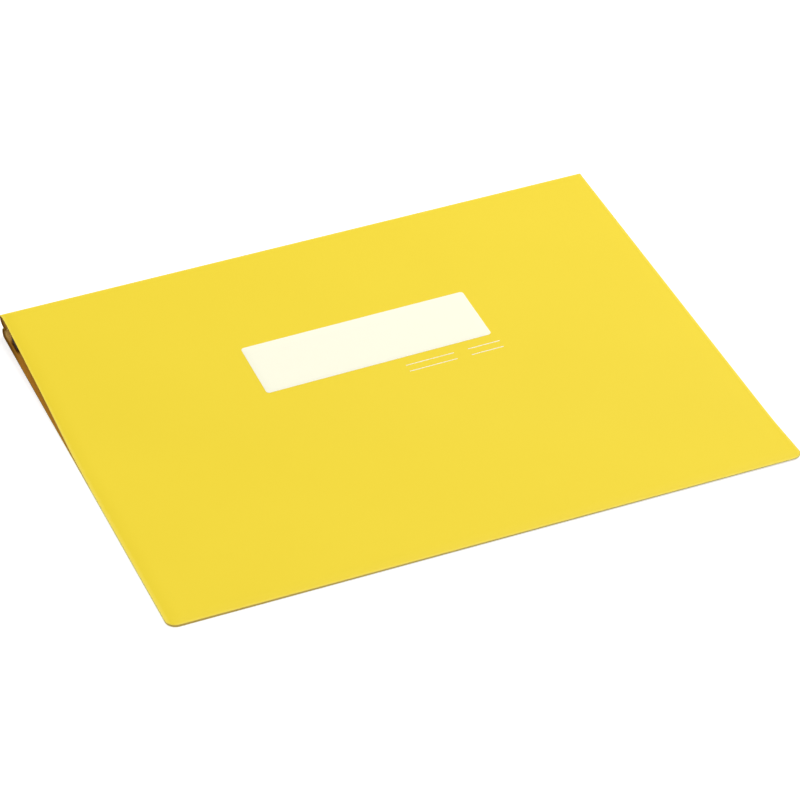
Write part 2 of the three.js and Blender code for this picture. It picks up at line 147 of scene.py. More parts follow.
# Rear cover and spine panel: two panels of the die-cut pasteboard, coated on its outside only.
# The rear cover lies flat on the table, its ends a little past the front cover's. At the spine
# fold the board curls up and back over itself, and it ends round the inner fold.
COVER_WIDTH = 0.4
COVER_DEPTH = 0.31
BACK_Y = COVER_DEPTH / 2
BOARD = 0.0007
BOARD_SEEN = 0.00069
CORNER_RADIUS = 0.0065
CORNER_STEPS = 10
REAR_END = 0.20079
PANEL = 0.011
CREASE_HEIGHT = 0.002
SPINE_INSET = 0.002
CURL_START = 0.1488
CURL_PULL_LOW = 0.1529
CURL_PULL_HIGH = 0.1524
CURL_STEPS = 14
FOLD_ROUND = 0.00045
FOLD_STEPS = 8
SHARP_BEND = 0.004
# How far from a sharp bend the creasing and its painted highlight reach.
CREASE_AND_HIGHLIGHT_REACH = 0.004
CUT_EDGE_ROUND = 0.0001
ROW_SPACING = 0.008
COLUMN_SPACING = 0.01
SAME_PLACE = 1e-6

# At the left end and at the right end: how far the rear cover's fore-edge stands back, and how
# high the front cover's back edge is.
FORE_SET_BACK = (0.0, 0.0008)
BACK_HEIGHT = (0.0139, 0.01837)


def new_group(name, inputs, outputs):
    """An empty node group with its sockets, its input node and its output node."""
    group = bpy.data.node_groups.new(name, "ShaderNodeTree")
    for socket, kind in inputs:
        group.interface.new_socket(name=socket, in_out="INPUT", socket_type=kind)
    for socket in outputs:
        group.interface.new_socket(name=socket, in_out="OUTPUT", socket_type="NodeSocketFloat")
    return group, group.nodes.new("NodeGroupInput"), group.nodes.new("NodeGroupOutput")


def place_group(tree, group, place, **values):
    """A group's node in a material, fed with a place and its own values."""
    node = tree.nodes.new("ShaderNodeGroup")
    node.node_tree = group
    tree.links.new(place, node.inputs["Place"])
    for socket, value in values.items():
        node.inputs[socket].default_value = value
    return node.outputs


def math_node(tree, operation, first, second=None, limit=False):
    """A Math node whose inputs are sockets or plain numbers."""
    node = tree.nodes.new("ShaderNodeMath")
    node.operation = operation
    node.use_clamp = limit
    for socket, value in zip(node.inputs, (first, second)):
        if hasattr(value, "is_linked"):
            tree.links.new(value, socket)
        elif value is not None:
            socket.default_value = value
    return node.outputs[0]


def speckle(tree, place, size, stretch=(1, 1, 1), detail=2.0, roughness=0.5):
    """Noise whose grains are about a size in metres, drawn out along an axis by stretch."""
    aim = tree.nodes.new("ShaderNodeMapping")
    aim.inputs["Scale"].default_value = [1 / (size * part) for part in stretch]
    noise = tree.nodes.new("ShaderNodeTexNoise")
    noise.inputs["Scale"].default_value = 1.0
    noise.inputs["Detail"].default_value = detail
    noise.inputs["Roughness"].default_value = roughness
    tree.links.new(place, aim.inputs["Vector"])
    tree.links.new(aim.outputs[0], noise.inputs["Vector"])
    return noise.outputs["Fac"]


def steepened(tree, value, low, high):
    """Spreads the values from low to high over 0 to 1, and cuts off the rest."""
    spread = tree.nodes.new("ShaderNodeMapRange")
    spread.inputs["From Min"].default_value = low
    spread.inputs["From Max"].default_value = high
    tree.links.new(value, spread.inputs["Value"])
    return spread.outputs[0]


def new_finish(name, roughness, specular):
    """A material with its node tree and its Principled shader."""
    finish = bpy.data.materials.new(name)
    finish.use_nodes = True
    shader = finish.node_tree.nodes["Principled BSDF"]
    shader.inputs["Roughness"].default_value = roughness
    shader.inputs["Specular IOR Level"].default_value = specular
    return finish, finish.node_tree, shader


def blend_colours(tree, share, first, second):
    """A colour mixed from two, each a plain colour or another socket."""
    mix = tree.nodes.new("ShaderNodeMix")
    mix.data_type = "RGBA"
    # This node's sockets for colours are its inputs 6 and 7 and its output 2.
    for socket, value in zip(mix.inputs[6:8], (first, second)):
        if hasattr(value, "is_linked"):
            tree.links.new(value, socket)
        else:
            socket.default_value = value
    tree.links.new(share, mix.inputs[0])
    return mix.outputs[2]


def relief(tree, shader, pattern, rise):
    """Bumps a surface with a pattern, whose 1 stands for a rise in metres."""
    bump = tree.nodes.new("ShaderNodeBump")
    bump.inputs["Strength"].default_value = 1.0
    bump.inputs["Distance"].default_value = rise
    tree.links.new(pattern, bump.inputs["Height"])
    tree.links.new(bump.outputs[0], shader.inputs["Normal"])


# The tooth of the board, the label and the print: fine fibres, a finer grain and faint clouds.
CLOUD_SIZE = 0.09
FIBRE_SIZE = 0.0006
TOOTH_SIZE = 0.00025
FIBRE_SHARE = 0.45
CLOUD_SHARE = 0.55
PAPER_SMOOTHEST = 0.46
PAPER_ROUGHER = 0.12

paper_tooth, group_in, group_out = new_group(
    "paper_tooth", [("Place", "NodeSocketVector")], ("Mottle", "Relief", "Roughness"),
)
place = group_in.outputs["Place"]
clouds = speckle(paper_tooth, place, CLOUD_SIZE, detail=2)
fibres = speckle(paper_tooth, place, FIBRE_SIZE, stretch=(3, 1, 1), detail=3)
tooth = speckle(paper_tooth, place, TOOTH_SIZE, detail=2)
fibre_part = math_node(paper_tooth, "MULTIPLY", fibres, FIBRE_SHARE)
cloud_part = math_node(paper_tooth, "MULTIPLY", clouds, CLOUD_SHARE)
mottle = math_node(paper_tooth, "ADD", fibre_part, cloud_part, limit=True)
rougher = math_node(paper_tooth, "MULTIPLY", fibres, PAPER_ROUGHER)
paper_roughness = math_node(paper_tooth, "ADD", rougher, PAPER_SMOOTHEST)
paper_tooth.links.new(mottle, group_out.inputs["Mottle"])
paper_tooth.links.new(math_node(paper_tooth, "ADD", fibres, tooth), group_out.inputs["Relief"])
paper_tooth.links.new(paper_roughness, group_out.inputs["Roughness"])


def kept_value(tree, name, output):
    """A value that each point of a board keeps when the board is folded."""
    kept = tree.nodes.new("ShaderNodeAttribute")
    kept.attribute_name = name
    return kept.outputs[output]


def board_place(tree):
    """Where a point lies on the flat board: X, and the depth from the fore-edge."""
    return kept_value(tree, "board_place", "Vector")


def split_place(tree, place):
    """A place on the flat board as two values: X, and the depth from the fore-edge."""
    parts = tree.nodes.new("ShaderNodeSeparateXYZ")
    tree.links.new(place, parts.inputs[0])
    return parts.outputs["X"], parts.outputs["Y"]


# The coated outside is a mottled deep yellow, rubbed paler along its edges and folds.
YELLOW = (0.905, 0.705, 0.036, 1)
YELLOW_DEEPER = (0.87, 0.66, 0.026, 1)
YELLOW_RUBBED = (0.945, 0.745, 0.08, 1)
RUB_REACH = 0.0036
RUB_PATCH = 0.005

coated_yellow, tree, shader = new_finish("coated_yellow_board", roughness=0.52, specular=0.2)
place = board_place(tree)
sideways, depth = split_place(tree, place)
surface = place_group(tree, paper_tooth, place)
from_end = math_node(tree, "SUBTRACT", COVER_WIDTH / 2, math_node(tree, "ABSOLUTE", sideways))
from_side = math_node(tree, "MINIMUM", from_end, depth)
from_fold = math_node(tree, "ABSOLUTE", math_node(tree, "SUBTRACT", depth, COVER_DEPTH))
from_edge = math_node(tree, "MINIMUM", from_side, from_fold)
rub_patches = speckle(tree, place, RUB_PATCH, detail=4, roughness=0.6)
rub_reach = math_node(tree, "MULTIPLY", rub_patches, RUB_REACH)
share_in = math_node(tree, "DIVIDE", from_edge, rub_reach)
rub = math_node(tree, "SUBTRACT", 1.0, share_in, limit=True)
mottled = blend_colours(tree, surface["Mottle"], YELLOW_DEEPER, YELLOW)
tree.links.new(blend_colours(tree, rub, mottled, YELLOW_RUBBED), shader.inputs["Base Color"])
tree.links.new(surface["Roughness"], shader.inputs["Roughness"])
relief(tree, shader, surface["Relief"], rise=0.000012)

# The bare inside is flecked brown, and paler where the board is creased, which also paints a
# highlight along the curl.
# Painted shade darkens its ends near the spine, and a painted shadow lies on the rear cover
# beside the ends of the fitting.
# Each pair of places runs from where a painted darkening begins to where it is full.
BOARD_BROWN = (0.76, 0.37, 0.045, 1)
BOARD_BROWN_DARK = (0.66, 0.305, 0.032, 1)
BOARD_FLECK = (0.4, 0.18, 0.02, 1)
BOARD_CREASE_AND_HIGHLIGHT = (1.0, 0.74, 0.27, 1)
BOARD_SHADED_END = (0.27, 0.12, 0.01, 1)
BOARD_FITTING_SHADOW = (0.13, 0.04, 0.003, 1)
FLECK_SIZE = 0.0011
FLECK_STRENGTH = 0.45
CREASE_STREAK = 0.0004
SHADE_AT_END = (0.1988, 0.1999)
SHADE_AT_SPINE = (0.268, 0.29)
SHADOW_INNER_SIDE = (0.1955, 0.197)
SHADOW_OUTER_SIDE = (0.1989, 0.1983)
SHADOW_FRONT = (0.281, 0.2855)
SHADOW_BACK = (0.299, 0.295)
SHADOW_PATCH = 0.0009

bare_board, tree, shader = new_finish("bare_board_inside", roughness=0.8, specular=0.12)
place = board_place(tree)
sideways, depth = split_place(tree, place)
outwards = math_node(tree, "ABSOLUTE", sideways)
surface = place_group(tree, paper_tooth, place)
mottled = blend_colours(tree, surface["Mottle"], BOARD_BROWN_DARK, BOARD_BROWN)
flecks = speckle(tree, place, FLECK_SIZE, stretch=(2.2, 1, 1), detail=3, roughness=0.6)
fleck_share = math_node(
    tree, "MULTIPLY", steepened(tree, flecks, low=0.62, high=0.72), FLECK_STRENGTH,
)
flecked = blend_colours(tree, fleck_share, mottled, BOARD_FLECK)
# Paler where the board is creased; the same paling is a painted highlight along the curl at the
# spine.
creases = speckle(tree, place, CREASE_STREAK, stretch=(60, 1, 1), detail=4, roughness=0.65)
crease_and_highlight_share = math_node(
    tree, "MULTIPLY", kept_value(tree, "board_bend", "Fac"),
    steepened(tree, creases, low=0.25, high=0.55),
)
creased_and_lit = blend_colours(tree, crease_and_highlight_share, flecked, BOARD_CREASE_AND_HIGHLIGHT)
# Painted shade: the ends of the bare board near the spine are darkened.
end_shade = math_node(
    tree, "MULTIPLY", steepened(tree, outwards, *SHADE_AT_END),
    steepened(tree, depth, *SHADE_AT_SPINE),
)
end_shaded = blend_colours(tree, end_shade, creased_and_lit, BOARD_SHADED_END)
# Painted shadow on the rear cover beside each end of the fitting, broken into patches.
shadow_across = math_node(
    tree, "MULTIPLY", steepened(tree, outwards, *SHADOW_INNER_SIDE),
    steepened(tree, outwards, *SHADOW_OUTER_SIDE),
)
shadow_along = math_node(
    tree, "MULTIPLY", steepened(tree, depth, *SHADOW_FRONT), steepened(tree, depth, *SHADOW_BACK),
)
shadow_patches = speckle(tree, place, SHADOW_PATCH, stretch=(1, 0.4, 1), detail=3)
shadow_spread = math_node(
    tree, "MULTIPLY", kept_value(tree, "under_fitting", "Fac"),
    steepened(tree, shadow_patches, low=0.2, high=0.5),
)
fitting_shadow = math_node(tree, "MULTIPLY", shadow_spread, math_node(tree, "MULTIPLY", shadow_across, shadow_along))
tree.links.new(blend_colours(tree, fitting_shadow, end_shaded, BOARD_FITTING_SHADOW), shader.inputs["Base Color"])
relief(tree, shader, surface["Relief"], rise=0.00003)

# The cut edges show the board's layers. Along the fore-edge they get paler to the right, a
# painted light from the right, and at the covers' ends they are pale yellow in front and
# darkened by painted shade near the spine.
CUT_BROWN = (0.84, 0.64, 0.16, 1)
CUT_BROWN_DARK = (0.68, 0.48, 0.09, 1)
CUT_PALE = (0.97, 0.86, 0.24, 1)
CUT_SHADED = (0.26, 0.14, 0.012, 1)
CUT_LAYER = 0.00018
PALER_TO_RIGHT = (-0.25, 0.25)
PALE_OFF_FORE_EDGE = (0.003, 0.009)
SHADE_TO_SPINE = (0.172, 0.238)

cut_board, tree, shader = new_finish("cut_board_edge", roughness=0.85, specular=0.15)
sideways, depth = split_place(tree, board_place(tree))
place = tree.nodes.new("ShaderNodeTexCoord").outputs["Object"]
layers = speckle(tree, place, CUT_LAYER, stretch=(14, 14, 1), detail=3, roughness=0.6)
# clean is the share of the pale colour: all of it off the fore-edge, and along the fore-edge
# more of it to the right, as painted light.
clean = math_node(
    tree, "MAXIMUM", steepened(tree, sideways, *PALER_TO_RIGHT),
    steepened(tree, depth, *PALE_OFF_FORE_EDGE),
)
# Painted shade: the cut edges darken towards the spine.
spine_shade = steepened(tree, depth, *SHADE_TO_SPINE)
layered = blend_colours(tree, layers, CUT_BROWN_DARK, CUT_BROWN)
paled = blend_colours(tree, clean, layered, CUT_PALE)
tree.links.new(blend_colours(tree, spine_shade, paled, CUT_SHADED), shader.inputs["Base Color"])
relief(tree, shader, layers, rise=0.00005)


def finish_board(sheet, *nodes):
    """Finishes a board's inside, outside and cut edges, and puts it in its panels' place."""
    for finish in (bare_board, coated_yellow, cut_board):
        sheet.data.materials.append(finish)
    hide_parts(*nodes)


def across(ends, x):
    """A value that runs evenly from the cover's left end to its right end."""
    return ends[0] + (ends[1] - ends[0]) * (x / COVER_WIDTH + 0.5)


def back_fold(x):
    """Where the front cover turns down into the crease strip, as Y and Z."""
    return np.array((BACK_Y - BOARD / 2, across(BACK_HEIGHT, x) - BOARD / 2))


def crease_fold(x):
    """Where the crease strip meets the gusset panel, as Y and Z."""
    return back_fold(x) - (0, CREASE_HEIGHT)


def inner_fold(x):
    """Where the spine panel and the gusset panel, both of one width, meet inside."""
    low = np.array((BACK_Y - SPINE_INSET, BOARD / 2))
    span = crease_fold(x) - low
    apart = np.hypot(*span)
    along = span / apart
    inwards = np.array((-along[1], along[0]))
    return low + span / 2 + inwards * math.sqrt(PANEL ** 2 - apart ** 2 / 4)


def rounded(before, fold, after):
    """The bend of the board's middle layer round a sharp fold, as points on an arc."""
    first = (before - fold) / np.hypot(*(before - fold))
    second = (after - fold) / np.hypot(*(after - fold))
    half = math.acos(np.clip(first @ second, -1, 1)) / 2
    middle = fold + (first + second) / np.hypot(*(first + second)) * FOLD_ROUND / math.sin(half)
    start = fold + first * FOLD_ROUND / math.tan(half) - middle
    end = fold + second * FOLD_ROUND / math.tan(half) - middle
    turn = math.pi - 2 * half
    return [
        middle + (start * math.sin(turn * (1 - t)) + end * math.sin(turn * t)) / math.sin(turn)
        for t in np.linspace(0, 1, FOLD_STEPS + 1)
    ]


def evenly(start, end, spacing):
    """Places from start to end, the last left out, about a spacing apart."""
    count = max(1, round(abs(end - start) / spacing))
    return [start + (end - start) * step / count for step in range(count)]


def smooth_bend(hooks, steps):
    """Points on the curve that four points steer, its end left out."""
    return [
        sum(math.comb(3, n) * (1 - t) ** (3 - n) * t ** n * hooks[n] for n in range(4))
        for t in np.linspace(0, 1, steps + 1)[:-1]
    ]


def curl_top(x):
    """The point that steers the top of the curl, level with the inner fold."""
    return np.array((CURL_PULL_HIGH, inner_fold(x)[1]))


def rear_profile(x):
    """The rear board's middle layer at one place along the spine, as Y and Z."""
    fore = np.array((-BACK_Y + across(FORE_SET_BACK, x), BOARD / 2))
    flat = [np.array((y, BOARD / 2)) for y in evenly(-BACK_Y, CURL_START, ROW_SPACING)[1:]]
    inner = rounded(curl_top(x), inner_fold(x), crease_fold(x))
    hooks = (
        np.array((CURL_START, BOARD / 2)), np.array((CURL_PULL_LOW, BOARD / 2)),
        curl_top(x), inner[0],
    )
    return [fore] + flat + smooth_bend(hooks, CURL_STEPS) + inner


def unfolded(profile):
    """How far along the flat sheet each point of a profile lies, at the middle of the cover."""
    points = np.array(profile(0.0))
    return np.concatenate(([0], np.cumsum(np.hypot(*np.diff(points, axis=0).T))))


def take(piece):
    """Makes a piece the active one, and the only one that is selected."""
    bpy.ops.object.select_all(action="DESELECT")
    piece.select_set(True)
    bpy.context.view_layer.objects.active = piece


def pick(piece, wanted):
    """Selects the vertices of a piece whose places pass a test, in edit mode."""
    bpy.ops.object.mode_set(mode="EDIT")
    bpy.ops.mesh.select_mode(type="VERT")
    bpy.ops.mesh.select_all(action="DESELECT")
    bpy.ops.object.mode_set(mode="OBJECT")
    for vertex in piece.data.vertices:
        vertex.select = wanted(vertex.co)
    bpy.ops.object.mode_set(mode="EDIT")


def cut_flat(name, width, length, low, corners, rows, columns):
    """A flat sheet from a low Y on, with cuts across it at rows and along it at columns.

    corners gives the Y of each side that has rounded corners, with their radius.
    """
    bpy.ops.object.select_all(action="DESELECT")
    bpy.ops.mesh.primitive_plane_add(size=1)
    sheet = bpy.context.object
    sheet.name = name
    sheet.data.name = name
    bpy.ops.object.mode_set(mode="EDIT")
    bpy.ops.transform.resize(value=(width, length, 1))
    bpy.ops.transform.translate(value=(0, low + length / 2, 0))
    for side, radius in corners:
        pick(sheet, lambda place: abs(place.y - side) < SAME_PLACE)
        bpy.ops.mesh.bevel(offset=radius, segments=CORNER_STEPS, affect="VERTICES")
    for row in rows:
        bpy.ops.mesh.select_all(action="SELECT")
        bpy.ops.mesh.bisect(plane_co=(0, row, 0), plane_no=(0, 1, 0))
    for column in columns:
        bpy.ops.mesh.select_all(action="SELECT")
        bpy.ops.mesh.bisect(plane_co=(column, 0, 0), plane_no=(1, 0, 0))
    bpy.ops.object.mode_set(mode="OBJECT")
    return sheet


def bends(profile):
    """How creased each point of a profile is, and so how much painted highlight it gets: 1 in a
    sharp bend, and 0 a little way off it.
    """
    steps = np.diff(np.array(profile(0.0)), axis=0)
    turns = np.abs(np.diff(np.unwrap(np.arctan2(steps[:, 1], steps[:, 0]))))
    lengths = np.hypot(*steps.T)
    sharpness = turns / ((lengths[1:] + lengths[:-1]) / 2) * SHARP_BEND
    sharpness = np.concatenate(([0], np.clip(sharpness, 0, 1), [0]))
    along = np.concatenate(([0], np.cumsum(lengths)))
    nearness = 1 - np.abs(along[:, None] - along) / CREASE_AND_HIGHLIGHT_REACH
    return (sharpness * np.clip(nearness, 0, 1)).max(axis=1)


def fold_up(sheet, stations, profile, from_fore_edge):
    """Lays a flat sheet along its folded profile, and keeps each point's place on the board.

    stations are the profile's points measured along the flat sheet, and profile(x) gives the
    same points folded, as Y and Z. The kept place is X, and the depth from the fore-edge.
    """
    flat = [vertex.co.copy() for vertex in sheet.data.vertices]
    bent = bends(profile)
    folded = {}
    for vertex, place in zip(sheet.data.vertices, flat):
        x = round(place.x, 7)
        if x not in folded:
            folded[x] = np.array(profile(x))
        vertex.co.y = np.interp(place.y, stations, folded[x][:, 0])
        vertex.co.z = np.interp(place.y, stations, folded[x][:, 1])
    sheet.data.attributes.new("board_place", "FLOAT_VECTOR", "POINT")
    sheet.data.attributes.new("board_bend", "FLOAT", "POINT")
    kept_place = sheet.data.attributes["board_place"].data
    kept_bend = sheet.data.attributes["board_bend"].data
    for index, place in enumerate(flat):
        kept_place[index].vector = (place.x, from_fore_edge(place.y), 0)
        kept_bend[index].value = np.interp(place.y, stations, bent)


def thicken(sheet, thickness, offset, rounding, keep_square=None):
    """Gives a sheet its thickness and eases its cut edges, but not at a hidden seam.

    Of the sheet's materials, the last goes to its cut edges and the one before it to its back.
    """
    take(sheet)
    rim = len(sheet.data.materials) - 1
    body = sheet.modifiers.new("thickness", "SOLIDIFY")
    body.thickness = thickness
    body.offset = offset
    body.use_even_offset = True
    body.material_offset = rim - 1
    body.material_offset_rim = rim
    bpy.ops.object.modifier_apply(modifier=body.name)
    mesh = sheet.data
    rims = {face.index for face in mesh.polygons if face.material_index == rim}
    faces_of = {}
    for face in mesh.polygons:
        for key in face.edge_keys:
            faces_of.setdefault(key, []).append(face.index)
    bpy.ops.object.mode_set(mode="EDIT")
    bpy.ops.mesh.select_mode(type="EDGE")
    bpy.ops.mesh.select_all(action="SELECT")
    bpy.ops.mesh.normals_make_consistent(inside=False)
    bpy.ops.mesh.select_all(action="DESELECT")
    bpy.ops.object.mode_set(mode="OBJECT")
    for edge in mesh.edges:
        beside = faces_of[edge.key]
        middle = (mesh.vertices[edge.key[0]].co + mesh.vertices[edge.key[1]].co) / 2
        at_rim = len({index in rims for index in beside}) == 2
        edge.select = at_rim and not (keep_square and keep_square(middle))
    bpy.ops.object.mode_set(mode="EDIT")
    bpy.ops.mesh.bevel(
        offset=rounding, segments=2, profile=0.5, affect="EDGES", clamp_overlap=False,
        material=rim,
    )
    bpy.ops.object.mode_set(mode="OBJECT")
    bpy.ops.object.shade_smooth_by_angle(angle=math.radians(40))


rear_stations = unfolded(rear_profile)
columns = evenly(-COVER_WIDTH / 2, COVER_WIDTH / 2, COLUMN_SPACING)[1:]
rear_board = cut_flat(
    "rear_board", 2 * REAR_END, rear_stations[-1], 0.0, [(0.0, CORNER_RADIUS)],
    rear_stations[1:-1], columns,
)
fold_up(rear_board, rear_stations, rear_profile, lambda along: along)
# 1 all over the rear board, so that the painted shadow beside the fitting falls on this board
# only.
under_fitting = rear_board.data.attributes.new("under_fitting", "FLOAT", "POINT")
under_fitting.data.foreach_set("value", [1.0] * len(rear_board.data.vertices))
finish_board(rear_board, "rear_cover", "spine_panel")
thicken(rear_board, BOARD_SEEN, offset=0.0, rounding=CUT_EDGE_ROUND)
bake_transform(rear_board)

# Gusset panel: the next panel of the same board, which runs back out from the inner fold and
# turns up in a round bend into the lower half of the crease strip.
GUSSET_SAG = 0.0026
GUSSET_PULL = 0.45
GUSSET_STEPS = 12
SEAM_STEP = 0.0002
SEAM_REACH = 0.002
SEAM_MISS = 2e-5


def seam(x):
    """Halfway up the crease strip, where two lengths of board butt."""
    return (crease_fold(x) + back_fold(x)) / 2


def at_seam(place):
    """Whether a place is where the two lengths of board butt."""
    return place.y > BACK_Y - SEAM_REACH and abs(place.z - seam(place.x)[1]) < SEAM_MISS


def gusset_profile(x):
    """The gusset board's middle layer, from the inner fold to the seam."""
    start = rounded(curl_top(x), inner_fold(x), crease_fold(x))[-1]
    sag = np.array((0, GUSSET_SAG))
    below_seam = seam(x) - (0, SEAM_STEP)
    hooks = (
        start, start + (crease_fold(x) - start) * GUSSET_PULL - sag / 2,
        crease_fold(x) - sag, below_seam,
    )
    return smooth_bend(hooks, GUSSET_STEPS) + [below_seam, seam(x)]


gusset_stations = unfolded(gusset_profile)
gusset_board = cut_flat(
    "gusset_board", 2 * REAR_END, gusset_stations[-1], 0.0, [], gusset_stations[1:-1], columns,
)
fold_up(
    gusset_board, gusset_stations, gusset_profile, lambda along: rear_stations[-1] + along,
)
finish_board(gusset_board, "gusset_panel")
thicken(gusset_board, BOARD_SEEN, offset=0.0, rounding=CUT_EDGE_ROUND, keep_square=at_seam)
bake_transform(gusset_board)

# Front cover: the last panel of the board, with the upper half of the crease strip. It goes
# over the back fold and down to the fore-edge, where it rests on the rear cover, and warps up
# towards the spine, earlier at its right end than at its left.
REST_TOP = 0.00153
LIFT_OFF = (0.17, 0.035)
LIFT_OFF_SOFTNESS = 0.012
BACK_ROW = 0.004
FORE_EDGE_MISS = 0.00001

# The left end's X at four depths from the fore-edge: behind the middle it tapers in.
LEFT_END = (-REAR_END, -COVER_WIDTH / 2, -COVER_WIDTH / 2, -REAR_END)
LEFT_END_AT = (0.13, 0.22, 0.305, 0.309)


def soft_ramp(distance):
    """Nearly 0 before a place and nearly the distance past it, with a soft turn between."""
    return (distance + math.hypot(distance, LIFT_OFF_SOFTNESS)) / 2


def cover_top(x, y):
    """Height of the front cover's upper face."""
    lift_off = across(LIFT_OFF, x)
    none = soft_ramp(-lift_off)
    climbed = soft_ramp(y + BACK_Y - lift_off) - none
    whole = soft_ramp(COVER_DEPTH - lift_off) - none
    return REST_TOP + (across(BACK_HEIGHT, x) - REST_TOP) * climbed / whole


front_rows = evenly(BACK_Y - BACK_ROW, -BACK_Y, ROW_SPACING) + [-BACK_Y + FORE_EDGE_MISS]


def front_profile(x):
    """The front board's middle layer, from the seam to the fore-edge."""
    cover = [np.array((y, cover_top(x, y) - BOARD / 2)) for y in front_rows]
    back = rounded(crease_fold(x), back_fold(x), cover[1])
    return [seam(x)] + back + [(back[-1] + cover[0]) / 2] + cover


front_stations = unfolded(front_profile)
front_board = cut_flat(
    "front_board", COVER_WIDTH, front_stations[-1], 0.0, [(front_stations[-1], CORNER_RADIUS)],
    front_stations[1:-1], columns,
)
for vertex in front_board.data.vertices:
    if vertex.co.x < columns[0]:
        left_end = np.interp(front_stations[-1] - vertex.co.y, LEFT_END_AT, LEFT_END)
        vertex.co.x += left_end + COVER_WIDTH / 2
fold_up(front_board, front_stations, front_profile, lambda along: front_stations[-1] - along)
finish_board(front_board, "front_cover", "crease_strip")
thicken(front_board, BOARD_SEEN, offset=0.0, rounding=CUT_EDGE_ROUND, keep_square=at_seam)
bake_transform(front_board)

# Title label: a sheet of thin ivory paper glued to the front cover a little behind its middle,
# its long side along the spine, for a title written by hand.
LABEL_WIDTH = 0.1497
LABEL_DEPTH = 0.0455
LABEL_MIDDLE = (0.0018, 0.04575)
LABEL_PAPER = 0.0001
LABEL_CORNER = 0.0022
LABEL_IVORY = (0.985, 0.97, 0.79, 1)
LABEL_IVORY_DEEPER = (0.97, 0.955, 0.765, 1)
LAID_GAP = 0.00001
LAID_SPACING = 0.005


def laid_on_cover(name, width, depth, middle, thickness, corner, finish):
    """A thin flat piece that lies on the front cover and follows its warp."""
    low = -depth / 2
    corners = [(low, corner), (-low, corner)] if corner else []
    piece = cut_flat(
        name, width, depth, low, corners, evenly(low, -low, LAID_SPACING)[1:],
        evenly(-width / 2, width / 2, LAID_SPACING)[1:],
    )
    rows = np.array(front_rows[::-1])
    for vertex in piece.data.vertices:
        x = vertex.co.x + middle[0]
        y = vertex.co.y + middle[1]
        below = np.interp(y, rows, [cover_top(x, row) for row in rows])
        vertex.co = (x, y, below + LAID_GAP)
    # Thickening takes one finish for the faces and one for the cut edges, here the same.
    piece.data.materials.append(finish)
    piece.data.materials.append(finish)
    thicken(piece, thickness, offset=1.0, rounding=thickness / 3)
    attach(piece, "front")
    return piece


label_paper, tree, shader = new_finish("ivory_label_paper", roughness=0.8, specular=0.25)
place = tree.nodes.new("ShaderNodeTexCoord").outputs["Object"]
surface = place_group(tree, paper_tooth, place)
mottled = blend_colours(tree, surface["Mottle"], LABEL_IVORY_DEEPER, LABEL_IVORY)
tree.links.new(mottled, shader.inputs["Base Color"])
relief(tree, shader, surface["Relief"], rise=0.00002)
title_label = laid_on_cover(
    "title_label_paper", LABEL_WIDTH, LABEL_DEPTH, LABEL_MIDDLE, LABEL_PAPER, LABEL_CORNER,
    label_paper,
)
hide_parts("title_label")

# Ruled lines: two white lines printed on the cover below the label's right half, each in a
# long and a short part, where a number and a date can be written.
RULE_DEPTH = 0.0006
RULE_INK = 0.00002
RULE_PLACES = (0.0152, 0.0092)
RULE_PARTS = ((0.0155, 0.0475), (0.057, 0.0785))
INK_WHITE = (0.93, 0.91, 0.8, 1)
INK_THIN = (0.92, 0.84, 0.45, 1)
INK_PATCH = 0.0012

white_ink, tree, shader = new_finish("white_print", roughness=0.55, specular=0.3)
place = tree.nodes.new("ShaderNodeTexCoord").outputs["Object"]
surface = place_group(tree, paper_tooth, place)
ink_patches = speckle(tree, place, INK_PATCH, detail=3, roughness=0.6)
coverage = steepened(tree, ink_patches, low=0.35, high=0.55)
tree.links.new(blend_colours(tree, coverage, INK_THIN, INK_WHITE), shader.inputs["Base Color"])
relief(tree, shader, surface["Relief"], rise=0.00001)
for line, y in enumerate(RULE_PLACES, 1):
    for part, (start, end) in zip(("long", "short"), RULE_PARTS):
        rule = laid_on_cover(
            f"printed_rule_{line}_{part}", end - start, RULE_DEPTH, ((start + end) / 2, y),
            RULE_INK, 0, white_ink,
        )

# Base strip: a flat strip of plated steel, blanked with holes for the two posts and six
# rivets, that stiffens the rear cover along the spine.
STEEL = (0.64, 0.65, 0.66, 1)
STEEL_DULL = (0.52, 0.53, 0.54, 1)
STEEL_WORN = (0.8, 0.8, 0.79, 1)
STRIP_EASE = 0.00012
STRIP_GRAIN = (60, 5000, 5000)


def eased_copy(name, node, rounding, body, finish):
    """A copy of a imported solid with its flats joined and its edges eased, in its place."""
    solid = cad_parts[node]
    piece = solid.copy()
    piece.data = solid.data.copy()
    piece.name = name
    piece.data.name = name
    for key in list(piece.keys()):
        del piece[key]
    piece.parent = None
    scene.collection.objects.link(piece)
    take(piece)
    bpy.ops.object.mode_set(mode="EDIT")
    bpy.ops.mesh.select_all(action="SELECT")
    bpy.ops.mesh.remove_doubles(threshold=SAME_PLACE)
    bpy.ops.mesh.dissolve_limited(angle_limit=math.radians(1))
    bpy.ops.object.mode_set(mode="OBJECT")
    easing = piece.modifiers.new("eased_edges", "BEVEL")
    easing.width = rounding
    easing.segments = 2
    easing.limit_method = "ANGLE"
    easing.angle_limit = math.radians(50)
    bpy.ops.object.modifier_apply(modifier=easing.name)
    bpy.ops.object.shade_smooth_by_angle(angle=math.radians(35))
    piece.data.materials.clear()
    piece.data.materials.append(finish)
    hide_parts(node)
    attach(piece, body)
    return piece


# Metal and plastic wear in patches along their edges, within a radius that each finish gives.
WEAR_PATCH = 0.0015
WEAR_GAIN = 6.0
METAL_WEAR = 0.00025

